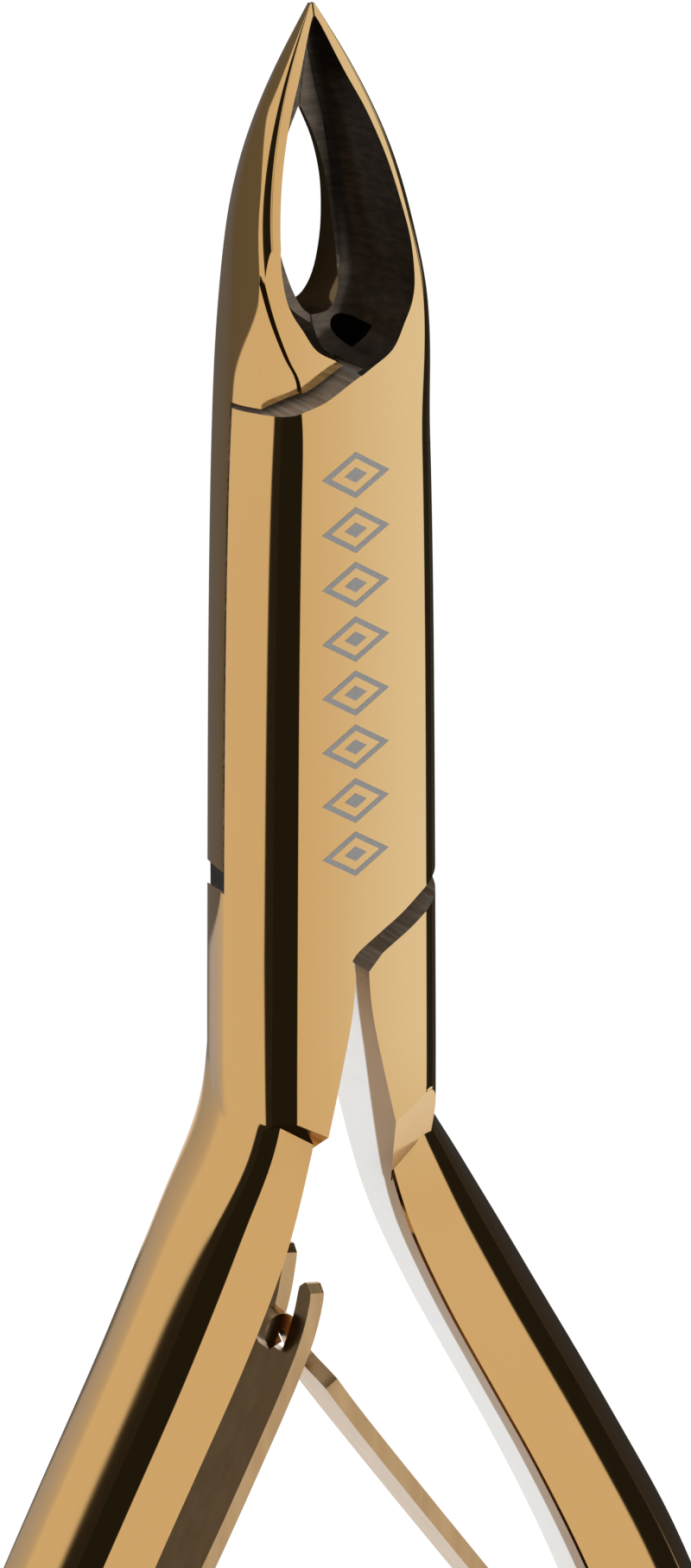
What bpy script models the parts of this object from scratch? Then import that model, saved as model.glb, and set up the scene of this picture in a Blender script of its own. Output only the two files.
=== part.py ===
"""Cuticle nipper with a riveted lap joint and two interlocking leaf springs.

It lies flat with the jaws towards +Y. The rivet's axis is Z and passes through X = Y = 0, and
the back faces lie on Z = 0. Each lever crosses over at the lap: the front lever is the left
handle, the front lap plate and the right jaw, and the rear lever is the other three.
"""

import math

import bmesh
import bpy
import numpy as np
from mathutils import Matrix

MM = 0.001

# Body and jaws
THICK = 7.0  # through the lap joint
MID = THICK / 2
BODY_END = -24.5
TIP_Y = 28.95
TIP_Z = 2.75
# Half width, front face and back face of the body against Y
HALF_WIDTH = [(BODY_END, 4.95), (-20.0, 5.05), (-12.0, 4.98), (0.0, 4.82), (8.0, 4.62), (13.0, 4.38),
              (17.0, 4.12), (20.0, 3.82), (22.5, 3.26), (24.5, 2.52), (26.5, 1.56), (28.1, 0.64),
              (TIP_Y, 0.12)]
FRONT_Z = [(BODY_END, THICK), (12.0, THICK), (14.5, 6.82), (16.5, 6.3), (18.5, 5.55), (20.0, 5.1),
           (22.0, 4.62), (24.0, 4.12), (26.0, 3.6), (TIP_Y, TIP_Z + 0.12)]
BACK_Z = [(BODY_END, 0.0), (12.0, 0.0), (14.5, 0.08), (17.0, 0.32), (20.0, 0.72), (24.0, 1.42),
          (TIP_Y, TIP_Z - 0.12)]
# Share of the half width that is flat in front, and of the one that is flat behind
FRONT_FLAT = [(BODY_END, 0.63), (11.0, 0.63), (14.5, 0.72), (18.0, 0.86), (TIP_Y, 0.86)]
BACK_FLAT = 0.63
# The left jaw is cut down beside the opposite lap plate: height at its upper end, and rise towards
# the plate
LEFT_JAW_FRONT_Z = 5.31
JAW_CAP_Y = 19.25
JAW_CAP_RISE = 0.06
# Outer edge of the flat left on the jaw's front there, and the slope that falls away outside it
HEEL_EDGE = [(-2.2, 12.0), (-2.3, 13.4), (-2.8, 14.5), (-3.35, 16.0), (-3.75, 17.5), (-4.1, 19.2)]
HEEL_DROP = 0.2
HEEL_SLOPE = 0.06

# Lap joint
LAP_GAP = 0.16
SHOULDER_GAP = 0.24
EDGE_GAP = 0.04  # between each cutting edge and the middle
RIVET_R = 2.1
RIVET_FIT = 0.06
RIVET_SKIN = 0.6  # solid metal left over the rivet's front end
# Upper edge of the front lap plate, from the left side to the root of the right jaw
PLATE_TOP = [(-6.6, 11.1), (-5.4, 11.7), (-4.2, 12.17), (-3.0, 12.5), (-1.8, 12.8), (-0.6, 13.4),
             (0.3, 13.85)]
# Lower edge of the front lap plate, from the right side to the mouth of the handles
PLATE_FOOT = [(6.6, -8.2), (4.9, -8.9), (3.7, -9.59), (2.16, -10.86), (1.06, -11.57), (-0.1, -12.3),
              (-0.5, -12.7)]
FOOT_GAP = 0.9  # between that edge and the shoulder of the opposite handle

# Hollow ground into the front of the jaws, right half, from the heel to the tip
HOLLOW = [(0.0, 13.7), (0.6, 14.0), (1.7, 14.6), (2.45, 15.6), (3.0, 16.4), (3.32, 17.3), (3.46, 18.7),
          (3.3, 20.1), (2.82, 22.2), (2.06, 24.3), (1.16, 26.1), (0.34, 27.9), (0.0, 28.5)]
# Share of that width taken on the left and on the right
HOLLOW_SHARES = {-1: 0.87, 1: 0.94}
HOLLOW_FLOOR = [(13.0, 3.0), (15.5, 2.7), (17.5, 1.9), (20.0, 1.35), (24.0, 1.7), (TIP_Y, TIP_Z)]
HOLLOW_MID_Y = 20.5
# Sections of the hollow from its floor up: width and length of the outline, and height from floor
# to front
HOLLOW_SECTIONS = [(0.01, 0.6, 0.0), (0.6, 0.6, 0.0), (0.78, 0.78, 0.1), (0.91, 0.91, 0.35),
                   (1.0, 1.0, 0.9), (1.05, 1.05, 1.5)]
# Slot between the jaws behind the cutting edges, round from the heel, by the right jaw
RELIEF = [(0.0, 15.3), (0.9, 15.45), (1.5, 16.4), (1.75, 18.0), (1.7, 19.6), (1.45, 21.1), (0.9, 22.7),
          (0.0, 24.4), (-0.62, 22.6), (-0.98, 21.0), (-1.1, 19.6), (-1.0, 18.1), (-0.75, 16.6),
          (-0.4, 15.7)]
# Blind hole where the right jaw leaves the lap plate
HEEL_HOLE = (1.33, 14.63)
HEEL_HOLE_R = 0.65
HEEL_HOLE_Z = 1.0

# Handles: X of the inner and the outer side of the right one against Y
INNER_X = [(-12.7, 0.34), (-14.5, 0.42), (-17.5, 1.0), (-21.5, 1.95), (-26.0, 3.2), (-30.5, 5.15),
           (-36.0, 8.05), (-40.0, 10.2), (-46.0, 13.1), (-52.0, 15.55), (-58.0, 17.35), (-66.0, 18.6),
           (-74.0, 18.55), (-82.0, 17.1), (-87.0, 15.6)]
OUTER_X = [(-16.0, 4.7), (-19.6, 4.9), (-21.6, 5.45), (-24.0, 6.85), (-26.4, 8.1), (-31.5, 10.65),
           (-36.6, 13.35), (-41.0, 15.65), (-46.5, 18.45), (-52.0, 20.75), (-58.0, 22.65), (-66.0, 24.0),
           (-74.0, 24.05), (-82.0, 22.75), (-87.0, 21.4)]
# Added to that outer side on the right handle only
RIGHT_EXTRA = [(-16.0, 0.0), (-24.0, 0.15), (-31.0, 0.65), (-38.0, 0.95), (-46.0, 1.15), (-54.0, 1.15),
               (-58.0, 1.0), (-62.0, 0.55), (-66.0, 0.04), (-74.0, 0.0)]
HANDLE_START = -16.0
HANDLE_END = -89.0
HANDLE_ROUND_Y = -84.5  # the end is rounded from here on
# Of each handle: height of its front, and of the front and the back edge of its inner wall
HANDLE_HEIGHTS = {-1: (6.4, 6.2, 2.0), 1: (5.5, 5.3, 1.7)}
HANDLE_FLAT = {-1: 0.63, 1: 0.45}
# The step from the body's front down to each handle: two points of its upper edge, its run per
# millimetre of drop
STEPS = {-1: ((-1.67, -20.8), (-5.24, -18.7), 0.8), 1: ((1.66, -20.8), (5.0, -18.5), 1.8)}
STEP_FLOOR = 5.0
HANDLE_BACK = 0.04
UNDERCUT = 1.6  # width of the bevel from the inner wall to the handle's back
BLEND_STEP = 0.04  # a handle stands this far out of the body where their sides meet
MOUTH_START = -13.4  # the gap between the handles opens from here
MOUTH_END = -27.0

# Leaf springs
LEAF_T = 0.7
LEAF_GAP = 0.3
FOOT_YS = (-64.6, -62.0, -59.4)
# Upper part of the centre line of the left leaf, whose end is a fork
FORK_LINE = [(-16.2, -56.2), (-13.9, -52.6), (-11.0, -48.0), (-7.3, -42.2), (-4.1, -36.4), (-2.15, -32.6),
             (-1.3, -30.4), (-0.82, -27.9)]
FORK_Z = (1.3, 4.9)
FORK_SLOT_Z = (2.28, 3.84)
FORK_ROOT_Y = -32.0
FRONT_PRONG_Y = -28.7
# Upper part of the centre line of the right leaf, whose end is a hook
TONGUE_LINE = [(16.0, -56.6), (13.3, -52.9), (9.8, -48.0), (5.4, -41.9), (1.0, -35.7), (-0.75, -33.0),
               (-1.3, -31.8), (-1.75, -30.95), (-2.3, -30.8), (-2.62, -31.25), (-2.42, -31.9)]
TONGUE_LEAF_Z = (1.3, 4.9)
TONGUE_Z = (2.6, 3.52)
TONGUE_NECK_Y = (-33.9, -32.5)  # the leaf narrows to its tongue between these

# Spring screws
SCREW_Y = -61.8
SCREW_R = 0.85
SCREW_FIT = 0.25
SCREW_HEAD_R = 1.6
SCREW_HEAD_T = 0.8
SCREW_HEAD_GAP = 0.35
SCREW_DEPTH = 3.4
DRIVER_SLOT = 0.4
DRIVER_DEPTH = 0.35

# Colour, and roughness by the last word of a part's name
GOLD = (0.72, 0.5, 0.24)
ROUGHNESS = {"lever": 0.1, "rivet": 0.2, "spring": 0.2, "screw": 0.25}

BODY_STATIONS = 56
HANDLE_STATIONS = 56
PRISM_FAR = 40.0  # beyond the sides and ends of everything, for the cutters


def curve(table, at):
    """A smooth curve through the rows of (y, value), without overshoot."""
    rows = sorted(table)
    ys = np.array([row[0] for row in rows])
    vs = np.array([row[1] for row in rows])
    steps = np.diff(vs) / np.diff(ys)
    slopes = np.zeros(len(vs))
    slopes[0], slopes[-1] = steps[0], steps[-1]
    for i in range(1, len(vs) - 1):
        if steps[i - 1] * steps[i] > 0:
            slopes[i] = 2 * steps[i - 1] * steps[i] / (steps[i - 1] + steps[i])
    i = int(np.clip(np.searchsorted(ys, at) - 1, 0, len(steps) - 1))
    span = ys[i + 1] - ys[i]
    t = float(np.clip((at - ys[i]) / span, 0, 1))
    return float(
        (1 + 2 * t) * (1 - t) ** 2 * vs[i]
        + t * (1 - t) ** 2 * span * slopes[i]
        + t * t * (3 - 2 * t) * vs[i + 1]
        + t * t * (t - 1) * span * slopes[i + 1]
    )


def bezier(a, b, c, count):
    """Points of a quadratic curve from a to c, leaving c out."""
    a, b, c = (np.array(point) for point in (a, b, c))
    return [tuple((1 - t) ** 2 * a + 2 * t * (1 - t) * b + t * t * c) for t in np.arange(count) / count]


def corner_profile(width, drop, flat):
    """Points from the edge of a flat face round its corner to the side, as (distance out, distance
    down). Flat is the flat share of the width, and drop the distance down to the widest point."""
    left = (1 - flat) * width
    round_drop = min(0.86 * (1 - flat), 0.32) * drop
    corner = (width - 0.35 * left, round_drop)
    points = bezier((flat * width, 0.0), (width - 0.57 * left, 0.0), corner, 4)
    return points + bezier(corner, (width, 2.6 * round_drop), (width, drop), 3)


def side_profile(width, low, high, flat=BACK_FLAT):
    """Front corner, bulging side and back corner, as (distance out, z)."""
    drop = (high - low) / 2
    upper = [(x, high - down) for x, down in corner_profile(width, drop, flat)]
    lower = [(x, low + down) for x, down in corner_profile(width, drop, BACK_FLAT)]
    return upper + [(width, high - drop)] + lower[::-1]


def smooth_line(points, steps):
    """A Catmull-Rom curve through the points."""
    pts = [np.array(point, float) for point in points]
    pts = [2 * pts[0] - pts[1]] + pts + [2 * pts[-1] - pts[-2]]
    out = []
    for a, b, c, d in zip(pts, pts[1:], pts[2:], pts[3:]):
        for t in np.arange(steps) / steps:
            bend = (2 * a - 5 * b + 4 * c - d) * t * t + (3 * b - a - 3 * c + d) * t ** 3
            out.append(tuple(0.5 * (2 * b + (c - a) * t + bend)))
    return out + [tuple(pts[-2])]


def offset_line(points, distance):
    """The open line moved sideways to its left."""
    pts = np.array(points, float)
    along = np.gradient(pts, axis=0)
    along /= np.linalg.norm(along, axis=1)[:, None]
    return [tuple(p) for p in pts + distance * np.column_stack([-along[:, 1], along[:, 0]])]


def mesh_object(name, bm, collection):
    bmesh.ops.remove_doubles(bm, verts=bm.verts, dist=1e-7)
    bmesh.ops.recalc_face_normals(bm, faces=bm.faces)
    mesh = bpy.data.meshes.new(name)
    bm.to_mesh(mesh)
    bm.free()
    obj = bpy.data.objects.new(name, mesh)
    collection.objects.link(obj)
    return obj


def loft(name, rings, collection):
    """A closed body through rings of the same number of points, in millimetres."""
    bm = bmesh.new()
    loops = [[bm.verts.new([c * MM for c in point]) for point in ring] for ring in rings]
    for near, far in zip(loops, loops[1:]):
        for i in range(len(near)):
            j = (i + 1) % len(near)
            bm.faces.new((near[i], near[j], far[j], far[i]))
    bm.faces.new(loops[0][::-1])
    bm.faces.new(loops[-1])
    return mesh_object(name, bm, collection)


def prism(name, outline, low, high, collection):
    return loft(name, [[(x, y, z) for x, y in outline] for z in (low, high)], collection)


def rod(name, start, axis, radius, length, collection, sides=32):
    """A round bar from start along a unit vector."""
    axis = np.array(axis, float)
    across = np.cross(axis, (0, 1, 0) if abs(axis[2]) > 0.9 else (0, 0, 1))
    across /= np.linalg.norm(across)
    other = np.cross(axis, across)
    angles = np.arange(sides) * 2 * math.pi / sides
    circle = [radius * (math.cos(a) * across + math.sin(a) * other) for a in angles]
    ends = [np.array(start) + axis * along for along in (0.0, length)]
    return loft(name, [[tuple(end + spoke) for spoke in circle] for end in ends], collection)


def combine(obj, tool, operation):
    modifier = obj.modifiers.new(tool.name, "BOOLEAN")
    modifier.operation = operation
    modifier.solver = "EXACT"
    modifier.object = tool


def body_envelope(name, collection):
    """Body and both jaws in one piece, before it is divided into two levers."""
    rings = []
    for y in np.linspace(BODY_END, TIP_Y, BODY_STATIONS):
        width, flat = curve(HALF_WIDTH, y), curve(FRONT_FLAT, y)
        right = side_profile(width, curve(BACK_Z, y), curve(FRONT_Z, y), flat)
        left = [(-x, z) for x, z in reversed(right)]
        rings.append([(x, y, z) for x, z in right + left])
    return loft(name, rings, collection)


def handle_blank(name, side, collection):
    """One handle from inside the body to its rounded end."""
    front, wall_front, wall_back = HANDLE_HEIGHTS[side]
    rings = []
    for y in np.linspace(HANDLE_START, HANDLE_END, HANDLE_STATIONS):
        inner, outer = curve(INNER_X, y), curve(OUTER_X, y)
        width = outer - inner + (side > 0) * curve(RIGHT_EXTRA, y)
        profile = [(0.0, wall_back), (0.0, wall_front - 0.15), (0.1, wall_front)]
        profile += side_profile(width, HANDLE_BACK, front, HANDLE_FLAT[side])
        profile += [(min(UNDERCUT, 0.5 * width), HANDLE_BACK)]
        over = max(0.0, (HANDLE_ROUND_Y - y) / (HANDLE_ROUND_Y - HANDLE_END))
        shrink = math.sqrt(1 - (0.97 * over) ** 2)
        ring = []
        for x, z in profile:
            across = inner + width / 2 + (x - width / 2) * shrink
            ring.append((side * across, y, front / 2 + (z - front / 2) * shrink))
        rings.append(ring)
    return loft(name, rings, collection)


def lever_region(name, side, collection):
    """The space of one lever. Side is +1 for the front lever and -1 for the rear one."""
    far = PRISM_FAR
    mouth = [(-curve(INNER_X, y) + BLEND_STEP, y) for y in np.linspace(MOUTH_START, MOUTH_END, 12)]
    below = [(-3.0, -100.0), (-far, -100.0)]
    plate = PLATE_TOP + [(EDGE_GAP, PLATE_TOP[-1][1] + SHOULDER_GAP), (EDGE_GAP, far), (far, far)]
    plate += [(far, PLATE_FOOT[0][1])] + PLATE_FOOT + mouth + below + [(-far, PLATE_TOP[0][1])]
    other_top = [(-x, y + SHOULDER_GAP) for x, y in PLATE_TOP]
    jaw = [(EDGE_GAP, far), (far, far), (far, other_top[0][1])] + other_top[:-1]
    jaw += [(EDGE_GAP, other_top[-1][1])]
    other_foot = offset_line([(-x, y) for x, y in PLATE_FOOT], -FOOT_GAP)
    handle = [(-far, other_foot[0][1])] + other_foot[:-2] + mouth + below
    split = MID + side * LAP_GAP / 2
    if side > 0:
        plate_z, full_z = (split, PRISM_FAR), (-PRISM_FAR, split + 0.4)
    else:
        plate_z, full_z = (-PRISM_FAR, split), (split - 0.4, PRISM_FAR)
    pieces = []
    outlines = {"plate": (plate, plate_z), "jaw": (jaw, full_z), "handle": (handle, full_z)}
    for part, (outline, heights) in outlines.items():
        outline = [(side * x, y) for x, y in outline]
        pieces.append(prism(f"{name}_{part}", outline, *heights, collection))
    for piece in pieces[1:]:
        combine(pieces[0], piece, "UNION")
    return pieces[0]


def hollow_cutter(name, collection):
    outline = [(HOLLOW_SHARES[1] * x, y) for x, y in HOLLOW]
    outline += [(-HOLLOW_SHARES[-1] * x, y) for x, y in reversed(HOLLOW[1:-1])]
    rings = []
    for across, size, rise in HOLLOW_SECTIONS:
        ring = []
        for x, y in outline:
            at = HOLLOW_MID_Y + (y - HOLLOW_MID_Y) * (0.55 + 0.45 * size)
            low, high = curve(HOLLOW_FLOOR, at), curve(FRONT_Z, at)
            ring.append((x * across, at, low + (high - low) * rise))
        rings.append(ring)
    return loft(name, rings, collection)


def cap_z(y):
    return LEFT_JAW_FRONT_Z + JAW_CAP_RISE * (JAW_CAP_Y - y)


def left_jaw_cap(name, collection):
    """Takes the left jaw down beside the opposite lap plate."""
    outline = [(-9.0, 11.0), (EDGE_GAP, 11.0), (EDGE_GAP, JAW_CAP_Y), (-9.0, JAW_CAP_Y)]
    rings = [[(x, y, cap_z(y)) for x, y in outline], [(x, y, 12.0) for x, y in outline]]
    return loft(name, rings, collection)


def heel_slope(name, collection):
    """Takes the left jaw's front down to a slope outside the edge of its heel."""
    outline = HEEL_EDGE + [(-8.0, HEEL_EDGE[-1][1]), (-8.0, HEEL_EDGE[0][1])]
    low = [(x, y, cap_z(y) - HEEL_DROP + HEEL_SLOPE * (x + 2.2)) for x, y in outline]
    high = [(x, y, 12.0) for x, y in outline]
    return loft(name, [low, high], collection)


def step_cutter(name, side, collection):
    """Lowers the end of the body to the front of one handle, leaving a sloped step."""
    (x0, y0), (x1, y1), run = STEPS[side]
    along = np.array([x1 - x0, y1 - y0])
    along /= np.linalg.norm(along)
    away = np.array([along[1], -along[0]]) * side
    start, end = np.array([x0, y0]) - along * 4, np.array([x1, y1]) + along * 5
    rings = []
    for z in (STEP_FLOOR, THICK + 1.0):
        shift = away * run * (THICK - z)
        corners = [start + shift, end + shift, end + away * 12, start + away * 12]
        rings.append([(x, y, z) for x, y in corners])
    return loft(name, rings, collection)


def undercut(name, side, collection):
    """Bevels the back of the body beside the mouth of the handles, as on the handle."""
    wall_back = HANDLE_HEIGHTS[side][2] + 2 * BLEND_STEP
    slope = wall_back / UNDERCUT
    rings = []
    for y in np.linspace(MOUTH_START, BODY_END - 1, 8):
        x = curve(INNER_X, y)
        section = [(x - 0.5, wall_back + 0.5 * slope), (x - 0.5, -1.0), (x + UNDERCUT + 1 / slope, -1.0)]
        rings.append([(side * px, y, z) for px, z in section])
    return loft(name, rings, collection)


def strip(name, line, heights, collection):
    """A strip of spring steel along a line. Heights gives its low and high edge at (x, y, distance
    left to the end)."""
    pts = np.array(line)
    lengths = np.concatenate([[0], np.cumsum(np.linalg.norm(np.diff(pts, axis=0), axis=1))])
    left, right = offset_line(line, LEAF_T / 2), offset_line(line, -LEAF_T / 2)
    rings = []
    for i, (x, y) in enumerate(line):
        low, high = heights(x, y, lengths[-1] - lengths[i])
        rings.append([(*left[i], low), (*right[i], low), (*right[i], high), (*left[i], high)])
    return loft(name, rings, collection)


def ease(at, start, end):
    """0 before start, 1 after end and a smooth rise between."""
    t = min(max((at - start) / (end - start), 0.0), 1.0)
    return t * t * (3 - 2 * t)


def rounded(low, high, left):
    """The two heights of a strip whose end is a half circle."""
    middle, half = (low + high) / 2, (high - low) / 2
    if left < half:
        half = math.sqrt(max(half ** 2 - (half - left) ** 2, 0.01))
    return middle - half, middle + half


def foot_line(side):
    """The foot of a leaf, along the inner side of its handle."""
    return [(side * (curve(INNER_X, y) - LEAF_GAP - LEAF_T / 2), y) for y in FOOT_YS]


def fork_leaf(name, collection):
    line = smooth_line(foot_line(-1) + FORK_LINE, 8)
    trunk = [point for point in line if point[1] < FORK_ROOT_Y]
    tines = [point for point in line if point[1] > FORK_ROOT_Y - 1.0]
    leaf = strip(name, trunk, lambda x, y, left: FORK_Z, collection)
    prongs = {"rear": (FORK_Z[0], FORK_SLOT_Z[0], 0.0), "front": (FORK_SLOT_Z[1], FORK_Z[1], FRONT_PRONG_Y)}
    for prong, (low, high, last) in prongs.items():
        part = [point for point in tines if point[1] < last]
        piece = strip(f"{name}_{prong}", part, lambda x, y, left: rounded(low, high, left), tools)
        combine(leaf, piece, "UNION")
    return leaf


def tongue_leaf(name, collection):
    line = smooth_line(foot_line(1) + TONGUE_LINE, 8)

    def heights(x, y, left):
        neck = ease(y, *TONGUE_NECK_Y)
        return [leaf + (tip - leaf) * neck for leaf, tip in zip(TONGUE_LEAF_Z, TONGUE_Z)]

    return strip(name, line, heights, collection)


def hinge_on(obj, parent, x, y):
    """Moves the origin of obj to its joint's axis, leaving its shape where it is."""
    obj.data.transform(Matrix.Translation((-x * MM, -y * MM, 0)))
    obj.location = (x * MM, y * MM, 0)
    obj.parent = parent


def steel(name, colour, roughness):
    material = bpy.data.materials.new(name)
    material.use_nodes = True
    shader = material.node_tree.nodes["Principled BSDF"]
    shader.inputs["Base Color"].default_value = (*colour, 1)
    shader.inputs["Metallic"].default_value = 1.0
    shader.inputs["Roughness"].default_value = roughness
    return material


for old in list(bpy.data.objects):
    bpy.data.objects.remove(old)

nipper = bpy.data.collections.new("cuticle_nipper")
tools = bpy.data.collections.new("cutters")
bpy.context.scene.collection.children.link(nipper)
bpy.context.scene.collection.children.link(tools)

# Levers, by the side of the pivot that their jaw is on
levers = {}
for lever_name, side in (("front_lever", 1), ("rear_lever", -1)):
    lever = body_envelope(lever_name, nipper)
    combine(lever, step_cutter(f"{lever_name}_step", -side, tools), "DIFFERENCE")
    combine(lever, undercut(f"{lever_name}_undercut", -side, tools), "DIFFERENCE")
    combine(lever, handle_blank(f"{lever_name}_handle", -side, tools), "UNION")
    combine(lever, lever_region(f"{lever_name}_region", side, tools), "INTERSECT")
    levers[side] = lever

jaw_tools = [hollow_cutter("hollow", tools), prism("relief", RELIEF, -2.0, 9.0, tools)]
for lever in levers.values():
    for tool in jaw_tools:
        combine(lever, tool, "DIFFERENCE")
left_cap = left_jaw_cap("left_jaw_cap", tools)
combine(levers[-1], left_cap, "DIFFERENCE")
combine(levers[-1], heel_slope("heel_slope", tools), "DIFFERENCE")
heel_hole = rod("heel_hole", (*HEEL_HOLE, HEEL_HOLE_Z), (0, 0, 1), HEEL_HOLE_R, 3.8, tools, 24)
combine(levers[1], heel_hole, "DIFFERENCE")

bore_r = RIVET_R + RIVET_FIT
front_bore = rod("front_bore", (0, 0, 2.0), (0, 0, 1), bore_r, THICK - RIVET_SKIN - 2.0, tools, 48)
rear_bore = rod("rear_bore", (0, 0, -1.0), (0, 0, 1), bore_r, THICK, tools, 48)
combine(levers[1], front_bore, "DIFFERENCE")
combine(levers[-1], rear_bore, "DIFFERENCE")
rivet = rod("pivot_rivet", (0, 0, 0), (0, 0, 1), RIVET_R, THICK - RIVET_SKIN - RIVET_FIT, nipper, 48)
rivet.parent = levers[1]

leaves = {-1: fork_leaf("fork_spring", nipper), 1: tongue_leaf("tongue_spring", nipper)}
leaf_mid_z = {-1: sum(FORK_Z) / 2, 1: sum(TONGUE_LEAF_Z) / 2}
for side, side_name in ((-1, "left"), (1, "right")):
    slope = (curve(INNER_X, SCREW_Y + 1) - curve(INNER_X, SCREW_Y - 1)) / 2
    outward = np.array([side, -slope, 0.0]) / math.hypot(1, slope)
    centre_x = side * (curve(INNER_X, SCREW_Y) - LEAF_GAP - LEAF_T / 2)
    centre = np.array([centre_x, SCREW_Y, leaf_mid_z[side]])
    seat = centre - outward * (LEAF_T / 2 + SCREW_HEAD_GAP)
    shank_length = SCREW_HEAD_GAP + LEAF_T + LEAF_GAP + SCREW_DEPTH
    top = seat - outward * SCREW_HEAD_T
    head = rod(f"{side_name}_screw", top, outward, SCREW_HEAD_R, SCREW_HEAD_T, nipper)
    shank_start = seat - outward * SCREW_HEAD_T / 2
    shank = rod(f"{side_name}_shank", shank_start, outward, SCREW_R, shank_length, tools, 24)
    combine(head, shank, "UNION")
    across = np.array([-outward[1], outward[0], 0.0]) * DRIVER_SLOT / 2
    deep = outward * DRIVER_DEPTH
    corners = [top - deep - across, top - deep + across, top + deep + across, top + deep - across]
    slot_rings = [[(x, y, z) for x, y, _ in corners] for z in (leaf_mid_z[side] - 3, leaf_mid_z[side] + 3)]
    combine(head, loft(f"{side_name}_driver_slot", slot_rings, tools), "DIFFERENCE")
    bore = rod(f"{side_name}_bore", seat, outward, SCREW_R + SCREW_FIT, shank_length + 0.3, tools, 24)
    combine(leaves[side], bore, "DIFFERENCE")
    combine(levers[-side], bore, "DIFFERENCE")
    head.parent = levers[-side]
    hinge_on(leaves[side], levers[-side], *foot_line(side)[0])

for part in nipper.objects:
    kind = part.name.split("_")[1]
    part.data.materials.append(steel(f"{part.name}_gold", GOLD, ROUGHNESS[kind]))
for tool in tools.objects:
    tool.hide_render = True
    tool.display_type = "WIRE"
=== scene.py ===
"""Looks of the cuticle nipper: polished gold-coloured steel on a white table.

The levers, leaves and screws are made again here with the sizes of the CAD model, from finer
outlines and with rounded edges, and stand for the CAD nodes. Lengths are in millimetres until a
mesh is made.
"""

import math

import bmesh
import bpy
import numpy as np
from mathutils import Matrix, Vector


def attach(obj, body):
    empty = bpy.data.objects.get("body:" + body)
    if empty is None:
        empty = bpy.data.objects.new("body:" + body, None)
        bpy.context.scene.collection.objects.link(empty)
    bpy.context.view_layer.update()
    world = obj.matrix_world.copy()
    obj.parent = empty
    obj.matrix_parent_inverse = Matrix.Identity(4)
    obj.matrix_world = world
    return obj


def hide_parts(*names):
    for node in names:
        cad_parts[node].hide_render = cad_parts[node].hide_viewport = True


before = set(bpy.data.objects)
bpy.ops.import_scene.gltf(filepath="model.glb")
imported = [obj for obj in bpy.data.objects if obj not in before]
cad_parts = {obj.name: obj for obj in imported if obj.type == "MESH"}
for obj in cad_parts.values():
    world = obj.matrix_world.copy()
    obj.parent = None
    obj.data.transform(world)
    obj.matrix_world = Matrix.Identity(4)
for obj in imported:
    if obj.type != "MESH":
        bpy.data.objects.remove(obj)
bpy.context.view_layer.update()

MM = 0.001

# Body and jaws
THICK = 7.0  # through the lap joint
MID = THICK / 2
BODY_END = -24.5
TIP_Y = 28.95
TIP_Z = 2.75
# Half width, front face and back face of the body against Y
HALF_WIDTH = [(BODY_END, 4.95), (-20.0, 5.05), (-12.0, 4.98), (0.0, 4.82), (8.0, 4.62), (13.0, 4.38),
              (17.0, 4.12), (20.0, 3.82), (22.5, 3.26), (24.5, 2.52), (26.5, 1.56), (28.1, 0.64),
              (TIP_Y, 0.12)]
FRONT_Z = [(BODY_END, THICK), (12.0, THICK), (14.5, 6.82), (16.5, 6.3), (18.5, 5.55), (20.0, 5.1),
           (22.0, 4.62), (24.0, 4.12), (26.0, 3.6), (TIP_Y, TIP_Z + 0.12)]
BACK_Z = [(BODY_END, 0.0), (12.0, 0.0), (14.5, 0.08), (17.0, 0.32), (20.0, 0.72), (24.0, 1.42),
          (TIP_Y, TIP_Z - 0.12)]
# Share of the half width that is flat in front, and of the one that is flat behind
FRONT_FLAT = [(BODY_END, 0.63), (11.0, 0.63), (14.5, 0.72), (18.0, 0.86), (TIP_Y, 0.86)]
BACK_FLAT = 0.63
# The corner beside a flat: its drop as a share of the rest of the width, and at most this share of
# the drop to the widest point, then where it bends, as shares of that rest, and how steeply it goes on
CORNER_DROP = 0.86
CORNER_DROP_MAX = 0.32
CORNER_BEND = 0.57
CORNER_IN = 0.35
CORNER_FALL = 2.6
# The left jaw is cut down beside the opposite lap plate: height at its upper end, and rise towards
# the plate
LEFT_JAW_FRONT_Z = 5.31
JAW_CAP_Y = 19.25
JAW_CAP_RISE = 0.06
# Outer edge of the flat left on the jaw's front there, and the slope that falls away outside it
HEEL_EDGE = [(-2.2, 12.0), (-2.3, 13.4), (-2.8, 14.5), (-3.35, 16.0), (-3.75, 17.5), (-4.1, 19.2)]
HEEL_DROP = 0.2
HEEL_SLOPE = 0.06
# How far out and down the body the tools for both reach
JAW_CAP_FAR = (-9.0, 11.0)
HEEL_FAR_X = -8.0
# Heights above and below the whole tool
ABOVE_Z = 12.0
BELOW_Z = -1.0

# Lap joint
LAP_GAP = 0.16
SHOULDER_GAP = 0.24
EDGE_GAP = 0.04  # between each cutting edge and the middle
RIVET_R = 2.1
RIVET_FIT = 0.06
FRONT_BORE_Z = 2.0  # the front lever's bore is cut from here on
RIVET_SKIN = 0.6  # solid metal left over the rivet's front end
# Upper edge of the front lap plate, from the left side to the root of the right jaw
PLATE_TOP = [(-6.6, 11.1), (-5.4, 11.7), (-4.2, 12.17), (-3.0, 12.5), (-1.8, 12.8), (-0.6, 13.4),
             (0.3, 13.85)]
# Lower edge of the front lap plate, from the right side to the mouth of the handles
PLATE_FOOT = [(6.6, -8.2), (4.9, -8.9), (3.7, -9.59), (2.16, -10.86), (1.06, -11.57), (-0.1, -12.3),
              (-0.5, -12.7)]
FOOT_GAP = 0.9  # between that edge and the shoulder of the opposite handle

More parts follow.
